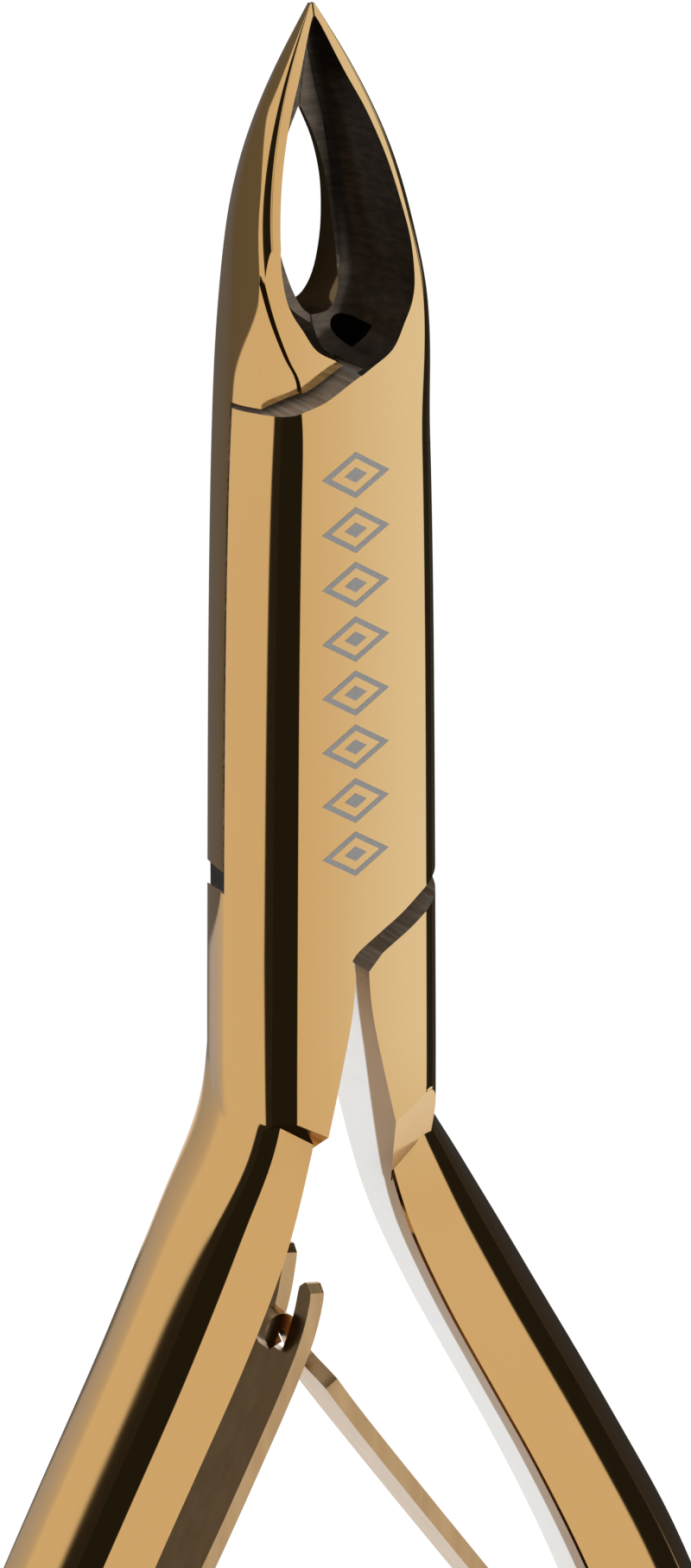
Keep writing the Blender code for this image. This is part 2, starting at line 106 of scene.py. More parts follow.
# Hollow ground into the front of the jaws, right half, from the heel to the tip
HOLLOW = [(0.0, 13.7), (0.6, 14.0), (1.7, 14.6), (2.45, 15.6), (3.0, 16.4), (3.32, 17.3), (3.46, 18.7),
          (3.3, 20.1), (2.82, 22.2), (2.06, 24.3), (1.16, 26.1), (0.34, 27.9), (0.0, 28.5)]
# Share of that width taken on the left and on the right
HOLLOW_SHARES = {-1: 0.87, 1: 0.94}
HOLLOW_FLOOR = [(13.0, 3.0), (15.5, 2.7), (17.5, 1.9), (20.0, 1.35), (24.0, 1.7), (TIP_Y, TIP_Z)]
HOLLOW_MID_Y = 20.5
# A section's outline is this long for no length, and this much longer for full length
HOLLOW_LENGTHS = (0.55, 0.45)
# Sections of the hollow from its floor up: width and length of the outline, and height from floor
# to front
HOLLOW_SECTIONS = [(0.01, 0.6, 0.0), (0.6, 0.6, 0.0), (0.78, 0.78, 0.1), (0.91, 0.91, 0.35),
                   (1.0, 1.0, 0.9), (1.05, 1.05, 1.5)]
# Slot between the jaws behind the cutting edges, round from the heel, by the right jaw
RELIEF = [(0.0, 15.3), (0.9, 15.45), (1.5, 16.4), (1.75, 18.0), (1.7, 19.6), (1.45, 21.1), (0.9, 22.7),
          (0.0, 24.4), (-0.62, 22.6), (-0.98, 21.0), (-1.1, 19.6), (-1.0, 18.1), (-0.75, 16.6),
          (-0.4, 15.7)]
RELIEF_TIP = 7  # the point of it nearest the jaws' tips
RELIEF_ZS = (-2.0, 9.0)
# Blind hole where the right jaw leaves the lap plate
HEEL_HOLE = (1.33, 14.63)
HEEL_HOLE_R = 0.65
HEEL_HOLE_Z = 1.0
HEEL_HOLE_LENGTH = 3.8

# Handles: X of the inner and the outer side of the right one against Y
INNER_X = [(-12.7, 0.34), (-14.5, 0.42), (-17.5, 1.0), (-21.5, 1.95), (-26.0, 3.2), (-30.5, 5.15),
           (-36.0, 8.05), (-40.0, 10.2), (-46.0, 13.1), (-52.0, 15.55), (-58.0, 17.35), (-66.0, 18.6),
           (-74.0, 18.55), (-82.0, 17.1), (-87.0, 15.6)]
OUTER_X = [(-16.0, 4.7), (-19.6, 4.9), (-21.6, 5.45), (-24.0, 6.85), (-26.4, 8.1), (-31.5, 10.65),
           (-36.6, 13.35), (-41.0, 15.65), (-46.5, 18.45), (-52.0, 20.75), (-58.0, 22.65), (-66.0, 24.0),
           (-74.0, 24.05), (-82.0, 22.75), (-87.0, 21.4)]
# Added to that outer side on the right handle only
RIGHT_EXTRA = [(-16.0, 0.0), (-24.0, 0.15), (-31.0, 0.65), (-38.0, 0.95), (-46.0, 1.15), (-54.0, 1.15),
               (-58.0, 1.0), (-62.0, 0.55), (-66.0, 0.04), (-74.0, 0.0)]
HANDLE_START = -16.0
HANDLE_END = -89.0
HANDLE_ROUND_Y = -84.5  # the end is rounded from here on
# Of each handle: height of its front, and of the front and the back edge of its inner wall
HANDLE_HEIGHTS = {-1: (6.4, 6.2, 2.0), 1: (5.5, 5.3, 1.7)}
HANDLE_FLAT = {-1: 0.63, 1: 0.45}
# The step from the body's front down to each handle: two points of its upper edge, its run per
# millimetre of drop
STEPS = {-1: ((-1.67, -20.8), (-5.24, -18.7), 0.8), 1: ((1.66, -20.8), (5.0, -18.5), 1.8)}
STEP_FLOOR = 5.0
STEP_PAST = (4, 5)  # how far the tool goes on past each of the two points
STEP_REACH = 12
HANDLE_BACK = 0.04
WALL_BEVEL = (0.1, 0.15)  # of the inner wall's front edge: its width and its drop
END_ROUND = 0.97  # how much of the half circle the rounding of the end takes
UNDERCUT = 1.6  # width of the bevel from the inner wall to the handle's back
UNDERCUT_OVER = 0.5  # its tool for the body starts this far inside the mouth
BLEND_STEP = 0.04  # a handle stands this far out of the body where their sides meet
MOUTH_START = -13.4  # the gap between the handles opens from here
MOUTH_END = -27.0
MOUTH_FAR = (-3.0, -100.0)  # and the space of a handle goes on to here
SHOULDER_START = 0.6  # its shoulder starts this far outside the mouth
FULL_OVERLAP = 0.4  # the jaw and the handle of a lever reach this far into its lap plate

# Leaf springs
LEAF_T = 0.7
LEAF_GAP = 0.3
FOOT_YS = (-64.6, -62.0, -59.4)
# Upper part of the centre line of the left leaf, whose end is a fork
FORK_LINE = [(-16.2, -56.2), (-13.9, -52.6), (-11.0, -48.0), (-7.3, -42.2), (-4.1, -36.4), (-2.15, -32.6),
             (-1.3, -30.4), (-0.82, -27.9)]
FORK_Z = (1.3, 4.9)
FORK_SLOT_Z = (2.28, 3.84)
FORK_ROOT_Y = -32.0
FRONT_PRONG_Y = -28.7
# Upper part of the centre line of the right leaf, whose end is a hook
TONGUE_LINE = [(16.0, -56.6), (13.3, -52.9), (9.8, -48.0), (5.4, -41.9), (1.0, -35.7), (-0.75, -33.0),
               (-1.3, -31.8), (-1.75, -30.95), (-2.3, -30.8), (-2.62, -31.25), (-2.42, -31.9)]
TONGUE_LEAF_Z = (1.3, 4.9)
TONGUE_Z = (2.6, 3.52)
TONGUE_NECK_Y = (-33.9, -32.5)  # the leaf narrows to its tongue between these

# Spring screws
SCREW_Y = -61.8
SCREW_R = 0.85
SCREW_FIT = 0.25
SCREW_HEAD_R = 1.6
SCREW_HEAD_T = 0.8
SCREW_HEAD_GAP = 0.35
SCREW_DEPTH = 3.4
DRIVER_SLOT = 0.4
DRIVER_DEPTH = 0.35
DRIVER_REACH = 3.0  # the slot is cut this far to each side of the middle of the head
SCREW_BORE_PAST = 0.3  # left free past the end of the screw

# Colours, and where the gold turns from the deep to the pale one: in metres, across and along
GOLD_DEEP = (0.70, 0.42, 0.16)
GOLD_PALE = (0.82, 0.58, 0.29)
PALE_XS = (-0.004, 0.004)
PALE_YS = (-0.026, -0.016)
SPRING_DARK = (0.36, 0.21, 0.09)
SPRING_LIGHT = (0.72, 0.49, 0.26)
HOLLOW_DARK = (0.17, 0.135, 0.105)
HOLLOW_LIGHT = (0.27, 0.22, 0.17)
SHOULDER_DARK = (0.66, 0.56, 0.46)
SHOULDER_LIGHT = (1.0, 0.95, 0.88)
MARK_GREYS = ((0.46, 0.45, 0.43), (0.66, 0.64, 0.62))
WALL_BROWN = (0.32, 0.19, 0.085)
# The pale greys of the inner wall stand for the bright table mirrored in it: a painted reflection
WALL_REFLECTION_PALES = ((0.82, 0.81, 0.79), (0.9, 0.89, 0.88))
TABLE_GREYS = ((0.1, 0.1, 0.1), (0.12, 0.12, 0.12))
# The edge between the two colours of the inner wall rises from the first to the second height
WALL_SPLIT_YS = (-0.028, -0.014)
WALL_SPLIT_ZS = (0.004, 0.0058)

# Light. Each soft box: four edges of it in degrees round Y from straight up, four edges of its
# height along Y as a share of the direction, and its strength
ROOM_GLOW = 0.02
SOFT_BOXES = [((15.0, 19.0, 42.0, 46.0), (-0.8, -0.7, 0.45, 0.6), 0.86),
              ((52.0, 60.0, 120.0, 130.0), (0.12, 0.22, 0.5, 0.6), 0.7),
              ((-60.0, -30.0, 100.0, 130.0), (0.62, 0.75, 1.5, 2.0), 0.45),
              ((70.0, 80.0, 105.0, 115.0), (-0.9, -0.8, -0.6, -0.5), 1.1),
              ((-14.0, -9.0, 11.0, 16.0), (0.2, 0.25, 0.6, 0.7), 0.75)]

# Painted light and shade that the steel mirrors from the table, which lies at TABLE_Z millimetres.
# The other places in this group are in metres, as shaders use them
TABLE_Z = -0.05
TABLE_HALF = 1.5
TABLE_GLOW = 0.85
SHADE_REACH = 0.004  # how far from the tool the table is shaded
SHADE_POWER = 0.7
# The tool's side is at BODY_SIDE, and along the handles at -HANDLE_SPREAD * y - BODY_SIDE
BODY_SIDE = 0.005
HANDLE_SPREAD = 0.5
# The table fades out this far left of the tool, and is lit again between these lines on the right
LEFT_REACH = (0.0195, 0.0165)
FAR_RIGHT_XS = (0.03, 0.04)
FAR_RIGHT_END = (0.095, 0.085)
FAR_RIGHT_YS = (-0.055, -0.065)
# Left of the tool it is darkest beside the handle and the body, far out beside the jaws, and not
# beside their tips: how far out, between these heights along Y
HANDLE_NEAR_YS = (-0.014, -0.009)
HANDLE_NEAR = (-0.0008, 0.002)
JAW_NEAR_YS = (0.012, 0.017)
JAW_NEAR = 0.004
TIP_NEAR_YS = (0.022, 0.026)
NEAR_EDGE = 0.0002
NEAR_GLOW = 0.14
# Painted light: a pool of glow on the table between the handles
# The lit table between the handles: half its width is GAP_OFFSET - GAP_SLOPE * y, it starts at the
# mouth, and below the tips of the leaves it lies right of the line LEAF_OFFSET + LEAF_SLOPE * y
GAP_SLOPE = 0.45
GAP_OFFSET = -0.0045
GAP_EDGE = 0.0005
GAP_MOUTH_YS = (-0.0115, -0.013)
GAP_GLOW = 0.88
LEAF_TIP_YS = (-0.0285, -0.0265)
LEAF_SLOPE = 0.55
LEAF_OFFSET = 0.0154
# Painted shade on the table seen through the gap on the left of the lap joint: between these
# heights, this far in, and how dark
NOTCH_YS = (-0.0125, -0.005)
NOTCH_OUT = -0.00145
NOTCH_DARK = 0.98

# Fineness of the meshes
PROFILE_DETAIL = 4
BODY_STATIONS = 190
HANDLE_STATIONS = 170
MOUTH_STATIONS = 50
UNDERCUT_STATIONS = 30
OUTLINE_STEPS = 5
LEAF_STEPS = 8
# Spread, in millimetres along Y, of the samples that even out the sides, and their range and count
FAIRING = 0.9
FAIR_RANGE = 2.5
FAIR_COUNT = 21
PRISM_FAR = 40.0
# How far the edges of the levers, the leaves, and the screws and rivet are rounded
EDGE_ROUND = 0.05
LEAF_ROUND = 0.07
SMALL_ROUND = 0.06
SHARP_ANGLE = math.radians(28)

# Camera: the direction it looks from, in degrees round Y and above, and its place and lens
SEEN_ROUND = 31.0
SEEN_ABOVE = 20.0
EYE = (-153.765, 103.584, 261.469)
LENS = 168.6
SENSOR = 36.0

# Etched ornament on the front of the lap joint
MARK_X = -0.35
MARK_YS = (-9.0, 10.6)
MARK_PITCH = 2.45
MARK_HALF = (1.7, 1.05)
# Edges of a diamond's ring and dot, as shares of its half width
MARK_RING_INSIDE = (0.70, 0.73)
MARK_RING_OUTSIDE = (1.0, 0.97)
MARK_DOT = (0.34, 0.31)
MARK_ABOVE_Z = 6.9  # the row is only on faces higher than this that face the front
MARK_FACING = 0.95


def curve(table, at):
    """A smooth curve through the rows of (y, value), without overshoot."""
    rows = sorted(table)
    ys = np.array([row[0] for row in rows])
    vs = np.array([row[1] for row in rows])
    steps = np.diff(vs) / np.diff(ys)
    slopes = np.zeros(len(vs))
    slopes[0], slopes[-1] = steps[0], steps[-1]
    for i in range(1, len(vs) - 1):
        if steps[i - 1] * steps[i] > 0:
            slopes[i] = 2 * steps[i - 1] * steps[i] / (steps[i - 1] + steps[i])
    at = np.asarray(at, float)
    i = np.clip(np.searchsorted(ys, at) - 1, 0, len(steps) - 1)
    span = ys[i + 1] - ys[i]
    t = np.clip((at - ys[i]) / span, 0, 1)
    inside = (
        (1 + 2 * t) * (1 - t) ** 2 * vs[i]
        + t * (1 - t) ** 2 * span * slopes[i]
        + t * t * (3 - 2 * t) * vs[i + 1]
        + t * t * (t - 1) * span * slopes[i + 1]
    )
    past = np.minimum(at - ys[0], 0) * slopes[0] + np.maximum(at - ys[-1], 0) * slopes[-1]
    return inside + past


def fair(table, at):
    """The same curve evened out, so that no kink shows in a reflection."""
    spread = np.linspace(-FAIR_RANGE, FAIR_RANGE, FAIR_COUNT)
    weights = np.exp(-0.5 * spread ** 2)
    shifts = spread * FAIRING
    values = sum(weight * curve(table, np.asarray(at) + shift) for weight, shift in zip(weights, shifts))
    return values / weights.sum()


def bezier(a, b, c, count):
    """Points of a quadratic curve from a to c, leaving c out."""
    a, b, c = (np.array(point) for point in (a, b, c))
    return [tuple((1 - t) ** 2 * a + 2 * t * (1 - t) * b + t * t * c) for t in np.arange(count) / count]


def corner_profile(width, drop, flat):
    """Points from the edge of a flat face round its corner to the side, as (distance out, distance
    down). Flat is the flat share of the width, and drop the distance down to the widest point."""
    rest = (1 - flat) * width
    round_drop = min(CORNER_DROP * (1 - flat), CORNER_DROP_MAX) * drop
    corner = (width - CORNER_IN * rest, round_drop)
    points = bezier((flat * width, 0.0), (width - CORNER_BEND * rest, 0.0), corner, 4 * PROFILE_DETAIL)
    return points + bezier(corner, (width, CORNER_FALL * round_drop), (width, drop), 3 * PROFILE_DETAIL)


def side_profile(width, low, high, flat=BACK_FLAT):
    """Front corner, bulging side and back corner, as (distance out, z)."""
    drop = (high - low) / 2
    upper = [(x, high - down) for x, down in corner_profile(width, drop, flat)]
    lower = [(x, low + down) for x, down in corner_profile(width, drop, BACK_FLAT)]
    return upper + [(width, high - drop)] + lower[::-1]


def smooth_line(points, steps):
    """A Catmull-Rom curve through the points."""
    pts = [np.array(point, float) for point in points]
    pts = [2 * pts[0] - pts[1]] + pts + [2 * pts[-1] - pts[-2]]
    out = []
    for a, b, c, d in zip(pts, pts[1:], pts[2:], pts[3:]):
        for t in np.arange(steps) / steps:
            bend = (2 * a - 5 * b + 4 * c - d) * t * t + (3 * b - a - 3 * c + d) * t ** 3
            out.append(tuple(0.5 * (2 * b + (c - a) * t + bend)))
    return out + [tuple(pts[-2])]


def offset_line(points, distance):
    """The open line moved sideways to its left."""
    pts = np.array(points, float)
    along = np.gradient(pts, axis=0)
    along /= np.linalg.norm(along, axis=1)[:, None]
    return [tuple(p) for p in pts + distance * np.column_stack([-along[:, 1], along[:, 0]])]


def mesh_object(name, bm, materials):
    """An object with the mesh, whose double points are merged and whose faces point outward."""
    bmesh.ops.remove_doubles(bm, verts=bm.verts, dist=1e-7)
    bmesh.ops.recalc_face_normals(bm, faces=bm.faces)
    mesh = bpy.data.meshes.new(name)
    bm.to_mesh(mesh)
    bm.free()
    for material in materials:
        mesh.materials.append(material)
    obj = bpy.data.objects.new(name, mesh)
    bpy.context.scene.collection.objects.link(obj)
    return obj


def loft(name, rings, *materials, special=None):
    """A closed body through rings of the same number of points. Special maps a point's place in
    the ring to the material of the side that starts there."""
    bm = bmesh.new()
    loops = [[bm.verts.new([c * MM for c in point]) for point in ring] for ring in rings]
    for near, far in zip(loops, loops[1:]):
        for i in range(len(near)):
            j = (i + 1) % len(near)
            face = bm.faces.new((near[i], near[j], far[j], far[i]))
            face.material_index = (special or {}).get(i, 0)
    bm.faces.new(loops[0][::-1])
    bm.faces.new(loops[-1])
    return mesh_object(name, bm, materials)


def prism(name, outline, low, high, *materials, special=None):
    """A straight body with the outline, between two heights."""
    rings = [[(x, y, z) for x, y in outline] for z in (low, high)]
    return loft(name, rings, *materials, special=special)


def rod(name, start, axis, radius, length, *materials, sides=64):
    """A round bar from start along a unit vector."""
    axis = np.array(axis, float)
    across = np.cross(axis, (0, 1, 0) if abs(axis[2]) > 0.9 else (0, 0, 1))
    across /= np.linalg.norm(across)
    other = np.cross(axis, across)
    angles = np.arange(sides) * 2 * math.pi / sides
    circle = [radius * (math.cos(a) * across + math.sin(a) * other) for a in angles]
    ends = [np.array(start) + axis * along for along in (0.0, length)]
    return loft(name, [[tuple(end + spoke) for spoke in circle] for end in ends], *materials)


def combine(obj, tool, operation):
    """A Boolean whose cut faces take the tool's materials."""
    modifier = obj.modifiers.new(tool.name, "BOOLEAN")
    modifier.operation = operation
    modifier.solver = "EXACT"
    modifier.material_mode = "TRANSFER"
    modifier.object = tool


def baked(obj):
    """Puts the modifiers into the mesh."""
    graph = bpy.context.evaluated_depsgraph_get()
    mesh = bpy.data.meshes.new_from_object(obj.evaluated_get(graph), depsgraph=graph)
    mesh.name = obj.name
    obj.modifiers.clear()
    obj.data = mesh


def finished(obj, edge):
    """Cleans the mesh that Booleans left, rounds its edges and shades it smooth between them."""
    baked(obj)
    bm = bmesh.new()
    bm.from_mesh(obj.data)
    bmesh.ops.remove_doubles(bm, verts=bm.verts, dist=2e-6)
    bmesh.ops.dissolve_degenerate(bm, edges=bm.edges, dist=1e-6)
    bm.to_mesh(obj.data)
    bm.free()
    obj.data.shade_smooth()
    obj.data.set_sharp_from_angle(angle=SHARP_ANGLE)
    rounding = obj.modifiers.new("edges", "BEVEL")
    rounding.width = edge * MM
    rounding.segments = 2
    rounding.limit_method = "ANGLE"
    rounding.angle_limit = SHARP_ANGLE
    rounding.use_clamp_overlap = True
    rounding.harden_normals = True
    flats = obj.modifiers.new("flats", "WEIGHTED_NORMAL")
    flats.mode = "FACE_AREA_WITH_ANGLE"
    flats.keep_sharp = True
    baked(obj)


def body_envelope(name, *materials):
    """Body and both jaws in one piece, before it is divided into two levers."""
    ys = np.linspace(BODY_END, TIP_Y, BODY_STATIONS)
    rings = []
    tables = (fair(table, ys) for table in (HALF_WIDTH, BACK_Z, FRONT_Z, FRONT_FLAT))
    for y, width, low, high, flat in zip(ys, *tables):
        right = side_profile(max(width, HALF_WIDTH[-1][1]), low, high, flat)
        left = [(-x, z) for x, z in reversed(right)]
        rings.append([(x, y, z) for x, z in right + left])
    return loft(name, rings, *materials)


def handle_blank(name, side, *materials):
    """One handle from inside the body to its rounded end. Its inner wall has the second material."""
    front, wall_front, wall_back = HANDLE_HEIGHTS[side]
    ys = np.linspace(HANDLE_START, HANDLE_END, HANDLE_STATIONS)
    rings = []
    extras = (side > 0) * fair(RIGHT_EXTRA, ys)
    for y, inner, outer, extra in zip(ys, fair(INNER_X, ys), fair(OUTER_X, ys), extras):
        width = outer - inner + extra
        profile = [(0.0, wall_back), (0.0, wall_front - WALL_BEVEL[1]), (WALL_BEVEL[0], wall_front)]
        profile += side_profile(width, HANDLE_BACK, front, HANDLE_FLAT[side])
        profile += [(min(UNDERCUT, 0.5 * width), HANDLE_BACK)]
        over = max(0.0, (HANDLE_ROUND_Y - y) / (HANDLE_ROUND_Y - HANDLE_END))
        shrink = math.sqrt(1 - (END_ROUND * over) ** 2)
        ring = []
        for x, z in profile:
            across = inner + width / 2 + (x - width / 2) * shrink
            ring.append((side * across, y, front / 2 + (z - front / 2) * shrink))
        rings.append(ring)
    return loft(name, rings, *materials, special={0: 1})


def lever_region(name, side, *materials):
    """The space of one lever. Side is +1 for the front lever and -1 for the rear one. The sides of
    the mouth have the second material."""
    far = PRISM_FAR
    ys = np.linspace(MOUTH_START, MOUTH_END, MOUTH_STATIONS)
    mouth = [(-x + BLEND_STEP, y) for x, y in zip(fair(INNER_X, ys), ys)]
    painted_reflection = [(MOUTH_FAR[0], MOUTH_FAR[1]), (-far, MOUTH_FAR[1])]
    top = smooth_line(PLATE_TOP, OUTLINE_STEPS)
    foot = smooth_line(PLATE_FOOT, OUTLINE_STEPS)
    plate = top + [(EDGE_GAP, top[-1][1] + SHOULDER_GAP), (EDGE_GAP, far), (far, far)]
    plate += [(far, foot[0][1])] + foot
    plate_walls = {len(plate) + i: 1 for i in range(len(mouth))}
    plate += mouth + painted_reflection + [(-far, top[0][1])]
    other_top = [(-x, y + SHOULDER_GAP) for x, y in top]
    jaw = [(EDGE_GAP, far), (far, far), (far, other_top[0][1])] + other_top[:-1]
    jaw += [(EDGE_GAP, other_top[-1][1])]
    other_foot = offset_line([(-x, y) for x, y in foot], -FOOT_GAP)
    last_x = mouth[0][0] - SHOULDER_START
    shoulder = [(x, y) for x, y in other_foot if x < last_x and y > MOUTH_START]
    handle = [(-far, other_foot[0][1])] + shoulder
    handle_walls = {len(handle) + i: 1 for i in range(len(mouth))}
    handle += mouth + painted_reflection
    split = MID + side * LAP_GAP / 2
    if side > 0:
        plate_z, full_z = (split, PRISM_FAR), (-PRISM_FAR, split + FULL_OVERLAP)
    else:
        plate_z, full_z = (-PRISM_FAR, split), (split - FULL_OVERLAP, PRISM_FAR)
    outlines = {
        "plate": (plate, plate_z, plate_walls),
        "jaw": (jaw, full_z, {}),
        "handle": (handle, full_z, handle_walls),
    }
    pieces = []
    for part, (outline, heights, walls) in outlines.items():
        outline = [(side * x, y) for x, y in outline]
        pieces.append(prism(f"{name}_{part}", outline, *heights, *materials, special=walls))
    for piece in pieces[1:]:
        combine(pieces[0], piece, "UNION")
    baked(pieces[0])
    for piece in pieces[1:]:
        bpy.data.objects.remove(piece)
    return pieces[0]


def hollow_cutter(name, *materials):
    """The hollow of both jaws, whose sections grow from its floor to above the front."""
    right = smooth_line(HOLLOW, OUTLINE_STEPS)
    outline = [(HOLLOW_SHARES[1] * x, y) for x, y in right]
    outline += [(-HOLLOW_SHARES[-1] * x, y) for x, y in reversed(right[1:-1])]
    rings = []
    for across, size, rise in [HOLLOW_SECTIONS[0]] + smooth_line(HOLLOW_SECTIONS[1:], 6):
        ring = []
        for x, y in outline:
            at = HOLLOW_MID_Y + (y - HOLLOW_MID_Y) * (HOLLOW_LENGTHS[0] + HOLLOW_LENGTHS[1] * size)
            low, high = fair(HOLLOW_FLOOR, at), fair(FRONT_Z, at)
            ring.append((x * across, at, float(low + (high - low) * rise)))
        rings.append(ring)
    return loft(name, rings, *materials)


def cap_z(y):
    """Height of the left jaw's front where it is cut down."""
    return LEFT_JAW_FRONT_Z + JAW_CAP_RISE * (JAW_CAP_Y - y)


def left_jaw_cap(name, *materials):
    """Takes the left jaw down beside the opposite lap plate."""
    far_x, far_y = JAW_CAP_FAR
    outline = [(far_x, far_y), (EDGE_GAP, far_y), (EDGE_GAP, JAW_CAP_Y), (far_x, JAW_CAP_Y)]
    rings = [[(x, y, cap_z(y)) for x, y in outline], [(x, y, ABOVE_Z) for x, y in outline]]
    return loft(name, rings, *materials)


def heel_slope(name, *materials):
    """Takes the left jaw's front down to a slope outside the edge of its heel."""
    (start_x, start_y), (_, end_y) = HEEL_EDGE[0], HEEL_EDGE[-1]
    outline = smooth_line(HEEL_EDGE, OUTLINE_STEPS) + [(HEEL_FAR_X, end_y), (HEEL_FAR_X, start_y)]
    low = [(x, y, cap_z(y) - HEEL_DROP + HEEL_SLOPE * (x - start_x)) for x, y in outline]
    high = [(x, y, ABOVE_Z) for x, y in outline]
    return loft(name, [low, high], *materials)


def step_cutter(name, side, *materials):
    """Lowers the end of the body to the front of one handle, leaving a sloped step."""
    (x0, y0), (x1, y1), run = STEPS[side]
    along = np.array([x1 - x0, y1 - y0])
    along /= np.linalg.norm(along)
    away = np.array([along[1], -along[0]]) * side
    start, end = np.array([x0, y0]) - along * STEP_PAST[0], np.array([x1, y1]) + along * STEP_PAST[1]
    rings = []
    for z in (STEP_FLOOR, THICK + 1.0):
        shift = away * run * (THICK - z)
        corners = [start + shift, end + shift, end + away * STEP_REACH, start + away * STEP_REACH]
        rings.append([(x, y, z) for x, y in corners])
    return loft(name, rings, *materials)


def undercut(name, side, *materials):
    """Bevels the back of the body beside the mouth of the handles, as on the handle."""
    wall_back = HANDLE_HEIGHTS[side][2] + 2 * BLEND_STEP
    slope = wall_back / UNDERCUT
    ys = np.linspace(MOUTH_START, BODY_END - 1, UNDERCUT_STATIONS)
    rings = []
    for x, y in zip(fair(INNER_X, ys), ys):
        inside = x - UNDERCUT_OVER
        section = [(inside, wall_back + UNDERCUT_OVER * slope), (inside, BELOW_Z)]
        section += [(x + UNDERCUT - BELOW_Z / slope, BELOW_Z)]
        rings.append([(side * px, y, z) for px, z in section])
    return loft(name, rings, *materials)


def strip(name, line, heights, *materials):
    """A strip of spring steel along a line. Heights gives its low and high edge at (x, y, distance
    left to the end)."""
    pts = np.array(line)
    lengths = np.concatenate([[0], np.cumsum(np.linalg.norm(np.diff(pts, axis=0), axis=1))])
    left, right = offset_line(line, LEAF_T / 2), offset_line(line, -LEAF_T / 2)
    rings = []
    for i, (x, y) in enumerate(line):
        low, high = heights(x, y, lengths[-1] - lengths[i])
        rings.append([(*left[i], low), (*right[i], low), (*right[i], high), (*left[i], high)])
    return loft(name, rings, *materials)


def ease(at, start, end):
    """0 before start, 1 after end and a smooth rise between."""
    t = min(max((at - start) / (end - start), 0.0), 1.0)
    return t * t * (3 - 2 * t)


def rounded(low, high, left):
    """The two heights of a strip whose end is a half circle."""
    middle, half = (low + high) / 2, (high - low) / 2
    if left < half:
        half = math.sqrt(max(half ** 2 - (half - left) ** 2, 0.01))
    return middle - half, middle + half


def foot_line(side):
    """The foot of a leaf, along the inner side of its handle."""
    return [(side * (float(curve(INNER_X, y)) - LEAF_GAP - LEAF_T / 2), y) for y in FOOT_YS]


def fork_leaf(name, *materials):
    """The left leaf and the two prongs that are joined to it."""
    line = smooth_line(foot_line(-1) + FORK_LINE, LEAF_STEPS)
    trunk = [point for point in line if point[1] < FORK_ROOT_Y]
    tines = [point for point in line if point[1] > FORK_ROOT_Y - 1.0]
    leaf = strip(name, trunk, lambda x, y, left: FORK_Z, *materials)
    prongs = {
        "rear": (FORK_Z[0], FORK_SLOT_Z[0], 0.0),
        "front": (FORK_SLOT_Z[1], FORK_Z[1], FRONT_PRONG_Y),
    }
    tools = []
    for prong, (low, high, last) in prongs.items():
        part = [point for point in tines if point[1] < last]
        tool = strip(f"{name}_{prong}", part, lambda x, y, left: rounded(low, high, left), *materials)
        combine(leaf, tool, "UNION")
        tools.append(tool)
    return leaf, tools


def tongue_leaf(name, *materials):
    """The right leaf, which narrows to a tongue, and no parts to join."""
    line = smooth_line(foot_line(1) + TONGUE_LINE, LEAF_STEPS)

    def heights(x, y, left):
        neck = ease(y, *TONGUE_NECK_Y)
        return [leaf + (tip - leaf) * neck for leaf, tip in zip(TONGUE_LEAF_Z, TONGUE_Z)]

    return strip(name, line, heights, *materials), []


